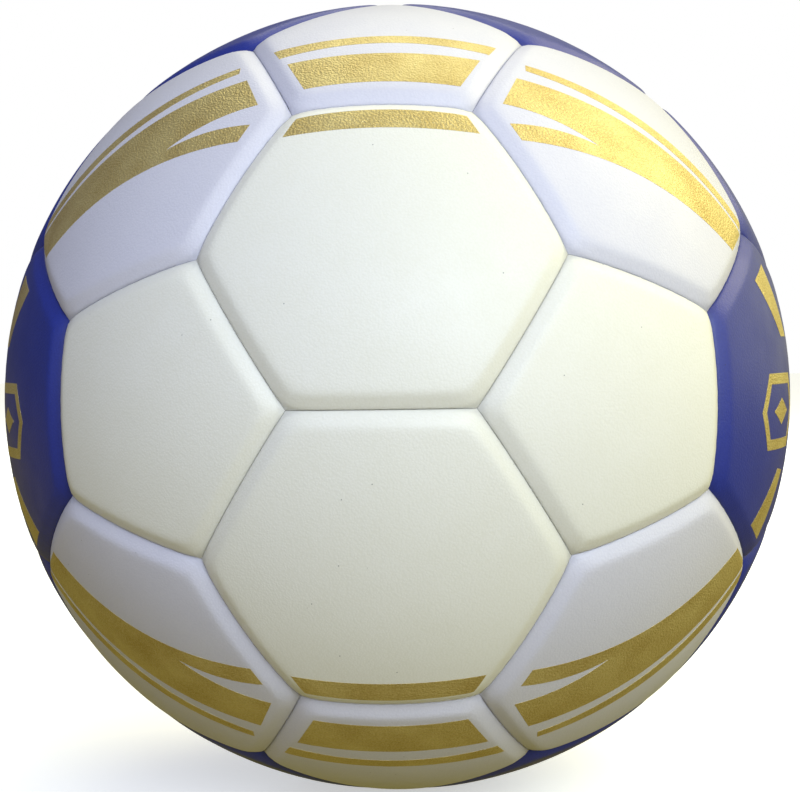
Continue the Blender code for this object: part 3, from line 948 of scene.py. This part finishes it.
# %% Bladder and patches
BLADDER_OUTSIDE = LINING_INSIDE - LAYER_GAP
BLADDER_INSIDE = BLADDER_OUTSIDE - BLADDER_WALL
PARTING_HEIGHT, PARTING_WIDTH = 0.2 * MM, 0.5 * MM
COLLAR_HEIGHT, COLLAR_RADIUS, COLLAR_SOFTNESS = 0.2 * MM, 9.0 * MM, 0.6 * MM
BLADDER_STEPS, BLADDER_SIDES = 150, 144
VALVE_CROWDING = 1.15  # above 1, the rings lie closer together near the valve
PARTING_SPREAD, PARTING_RINGS = 3, 13
PATCH_OUTSIDE = BLADDER_INSIDE - 0.9 * MM
PATCH_INSIDE = PATCH_OUTSIDE - 0.9 * MM
PATCH_RADIUS, PATCH_STEPS = 16 * MM, 14
PATCH_SKIVE, PATCH_ROUNDING = 0.8 * MM, 0.3 * MM


def bladder_profile():
    """From the valve's hole round the outside to the far pole, and back along the inside."""
    start = HOLE_RADIUS / BLADDER_OUTSIDE
    angles = start + (pi - start) * np.linspace(0, 1, BLADDER_STEPS + 1) ** VALVE_CROWDING
    fine = np.linspace(-PARTING_SPREAD, PARTING_SPREAD, PARTING_RINGS) * PARTING_WIDTH / BLADDER_OUTSIDE
    angles = np.sort(np.concatenate([angles, pi / 2 + fine]))
    ridge = PARTING_HEIGHT * np.exp(-(((angles - pi / 2) * BLADDER_OUTSIDE / PARTING_WIDTH) ** 2))
    collar = COLLAR_HEIGHT / (1 + np.exp((angles * BLADDER_OUTSIDE - COLLAR_RADIUS) / COLLAR_SOFTNESS))
    radii = BLADDER_OUTSIDE + (ridge + collar)
    outside = [(radius * sin(a), radius * cos(a)) for a, radius in zip(angles, radii)]
    inside_angles = np.linspace(pi, asin(HOLE_RADIUS / BLADDER_INSIDE), BLADDER_STEPS // 2)
    inside = [(BLADDER_INSIDE * sin(a), BLADDER_INSIDE * cos(a)) for a in inside_angles]
    return outside, inside


def turn_bladder():
    outside, inside = bladder_profile()
    # the far pole splits the profile, so each side ends in a point there
    outside[-1], inside[0] = (0, outside[-1][1]), (0, inside[0][1])
    rings, under = (turned_rings(profile, valve_turn, BLADDER_SIDES) for profile in (outside, inside))
    bm = bmesh.new()
    bridge(bm, rings)
    bridge(bm, under + [rings[0]])
    bmesh.ops.remove_doubles(bm, verts=bm.verts, dist=TINY)
    bmesh.ops.recalc_face_normals(bm, faces=bm.faces)
    return finish_piece("butyl_bladder", bm, BUTYL, ["bladder"])


def patch_profile(hole):
    outer = cap_arc(PATCH_OUTSIDE, hole, PATCH_RADIUS, PATCH_STEPS)
    inner = cap_arc(PATCH_INSIDE, hole, PATCH_RADIUS - PATCH_SKIVE, PATCH_STEPS)[::-1]
    # the rim is skived thin, as a bicycle tube's patch is
    rim = bevelled([outer[-2], outer[-1], inner[0], inner[1]], PATCH_ROUNDING, closed=False)
    return outer[:-1] + rim[1:-1] + inner[1:]


bladder = turn_bladder()
turned("valve_patch_moulding", patch_profile(HOLE_RADIUS), BUTYL, ["valve_patch"])
far_side = np.array(Matrix.Rotation(pi, 3, "X") @ valve_panel.turn)
turned("balance_patch_moulding", patch_profile(0), BUTYL, ["balance_patch"], far_side)
print("bladder faces:", len(bladder.data.polygons))

# %% Valve
VALVE_FACE = BALL_RADIUS - 0.8 * MM
SEAT_LEVEL = VALVE_FACE - 1.2 * MM
SEAT_RADIUS, BORE_RADIUS, NEEDLE_RADIUS = 3.4 * MM, 2.2 * MM, 0.6 * MM
FLANGE_RADIUS = 11 * MM
FLANGE_TOP = sqrt(PATCH_INSIDE**2 - FLANGE_RADIUS**2) - LAYER_GAP
FLANGE_BOTTOM = FLANGE_TOP - 1.4 * MM
BARREL_FILLET, FILLET_POINTS = 1.2 * MM, 7
MOUTH_ROUNDING, FLANGE_ROUNDING, CORE_ROUNDING = 0.12 * MM, 0.35 * MM, 0.18 * MM
CORE_END, CORE_TAPER = VALVE_FACE - 8 * MM, 0.92
MOUTH_RADIUS, MOUTH_DEPTH = 1.1 * MM, 1.0 * MM
CORE_CROWN = 0.15 * MM

fillet = [
    (BARREL_RADIUS + BARREL_FILLET * (1 - sin(a)), FLANGE_TOP + BARREL_FILLET * (1 - cos(a)))
    for a in np.linspace(pi / 2, 0, FILLET_POINTS)
]
mouth = [(BORE_RADIUS, SEAT_LEVEL), (SEAT_RADIUS, SEAT_LEVEL), (SEAT_RADIUS, VALVE_FACE)]
mouth += [(BARREL_RADIUS, VALVE_FACE), fillet[0]]
flange = [fillet[-1], (FLANGE_RADIUS, FLANGE_TOP), (FLANGE_RADIUS, FLANGE_BOTTOM), (BORE_RADIUS, FLANGE_BOTTOM)]
housing = bevelled(mouth, MOUTH_ROUNDING, closed=False) + fillet[1:]
housing += bevelled(flange, FLANGE_ROUNDING, closed=False)[1:]
turned("valve_housing_moulding", housing, VALVE_RUBBER, ["valve_housing"])

head, shaft = SEAT_RADIUS - LAYER_GAP, BORE_RADIUS - LAYER_GAP
core_top, shoulder = VALVE_FACE - LAYER_GAP, SEAT_LEVEL + LAYER_GAP
core = [(NEEDLE_RADIUS, VALVE_FACE - MOUTH_DEPTH), (MOUTH_RADIUS, core_top + CORE_CROWN / 2)]
core += [(head, core_top), (head, shoulder), (shaft, shoulder)]
core += [(shaft * CORE_TAPER, CORE_END), (NEEDLE_RADIUS, CORE_END)]
core = bevelled(core, CORE_ROUNDING)
turned("valve_core_moulding", core, VALVE_RUBBER, ["valve_core"])
print("valve face", round((BALL_RADIUS - VALVE_FACE) / MM, 2), "mm below the surface")

# %% [markdown]
# ## Floor, light and camera
# A pale floor under the ball and a white surround, as in a photographer's light tent. A broad cool window
# in front models the edges of the panels, two warm ones at the right and overhead brighten the upper
# right, and a small cool one straight behind fills the back and can't reach the front. The surround
# itself glows, most at the right and in front, and the floor gives back a little warm light from below.

# %% Studio
def only_seen(tree):
    """1 where the camera looks at the surface, 0 where it lights something else."""
    return add_node(tree, "LightPath").outputs["Is Camera Ray"]


def studio_floor():
    """Pale paper. What it gives back to the ball is a little warm light, the same all over."""
    material, tree, coordinates = new_material("pale_floor")
    paper = add_node(tree, "TexNoise", pattern(coordinates, 2, Detail=3.0))
    tones = {"Factor": paper, "A": linear("#F6F6F4"), "B": linear("#F0F0EE")}
    colour = add_node(tree, "Mix", tones, data_type="RGBA")
    sheet = {"Base Color": colour, "Roughness": 0.9, "Emission Color": linear("#FFFFFF")}
    seen = add_node(tree, "BsdfPrincipled", {**sheet, "Emission Strength": 0.5})
    bounce = add_node(tree, "Emission", {"Color": FLOOR_BOUNCE})
    finish_material(tree, add_node(tree, "MixShader", {"Fac": only_seen(tree), 1: bounce, 2: seen}))
    return material


def add_window(name, place, size, strength, colour):
    """A square area light that faces the ball."""
    light = bpy.data.lights.new(name, "AREA")
    light.size, light.energy, light.color = size, strength, colour
    lamp = bpy.data.objects.new(name, light)
    lamp.location = place
    lamp.rotation_euler = Vector(place).to_track_quat("Z", "Y").to_euler()
    scene.collection.objects.link(lamp)
    return lamp


FLOOR_SIZE = 12.0
FLOOR_BOUNCE = (0.23, 0.19, 0.03, 1.0)
bm = bmesh.new()
bmesh.ops.create_grid(bm, x_segments=4, y_segments=4, size=FLOOR_SIZE / 2)
floor_mesh = bpy.data.meshes.new("floor")
bm.to_mesh(floor_mesh)
bm.free()
floor_mesh.materials.append(studio_floor())
floor = bpy.data.objects.new("floor", floor_mesh)
floor.location.z = float(cover_points[:, 2].min())
scene.collection.objects.link(floor)

add_window("front_window", (0.70, -1.70, 0.76), 1.3, 23.5, (0.74, 0.85, 1.0))
add_window("right_window", (1.36, 0.50, 1.38), 1.3, 16.0, (1.0, 0.90, 0.56))
add_window("top_window", (0.0, 0.90, 1.79), 1.3, 11.5, (1.0, 0.96, 0.62))
add_window("back_window", (0.0, 1.90, 0.15), 0.5, 11.0, (0.68, 0.82, 1.0))

RIGHT_GLOW, FRONT_GLOW, ALL_ROUND_GLOW = (1.18, 1.10, 0.31), (0.84, 0.90, 1.16), (0.10, 0.10, 0.13)
world = bpy.data.worlds.new("white_surround")
scene.world = world
world.use_nodes = True
tree = world.node_tree
tree.nodes.clear()
direction = add_node(tree, "TexCoord").outputs["Generated"]
glow = ALL_ROUND_GLOW
for towards, tint in (((1, 0, 0), RIGHT_GLOW), ((0, -1, 0), FRONT_GLOW)):
    facing = add_node(tree, "VectorMath", {0: direction, 1: towards}, operation="DOT_PRODUCT")
    share = add_node(tree, "Math", {0: facing, 1: 0.0}, operation="MAXIMUM")
    glow = add_node(tree, "VectorMath", {0: tint, 1: share, 2: glow}, operation="MULTIPLY_ADD")
surround = {"Factor": only_seen(tree), "A": glow, "B": linear("#FFFFFF")}
colour = add_node(tree, "Mix", surround, data_type="RGBA")
background = add_node(tree, "Background", {"Color": colour, "Strength": 1.0})
add_node(tree, "OutputWorld", {"Surface": background})
scene.view_settings.view_transform = "Standard"

# %% Camera
AZIMUTH, ELEVATION, ROLL = radians(1.96), radians(1.53), radians(-0.77)
DISTANCE = 4.4575 * BALL_RADIUS
ASIDE, ABOVE = 0.6 * MM, 0.15 * MM
camera_turn = Matrix.Rotation(AZIMUTH, 4, "Z") @ Matrix.Rotation(pi / 2 - ELEVATION, 4, "X")
camera_turn = camera_turn @ Matrix.Rotation(ROLL, 4, "Z")
camera_data = bpy.data.cameras.new("camera")
camera_data.lens, camera_data.sensor_width = 76.8, 36  # mm
camera_data.clip_start = 10 * MM
camera = bpy.data.objects.new("camera", camera_data)
camera.matrix_world = camera_turn @ Matrix.Translation((ASIDE, ABOVE, DISTANCE))
scene.collection.objects.link(camera)
scene.camera = camera
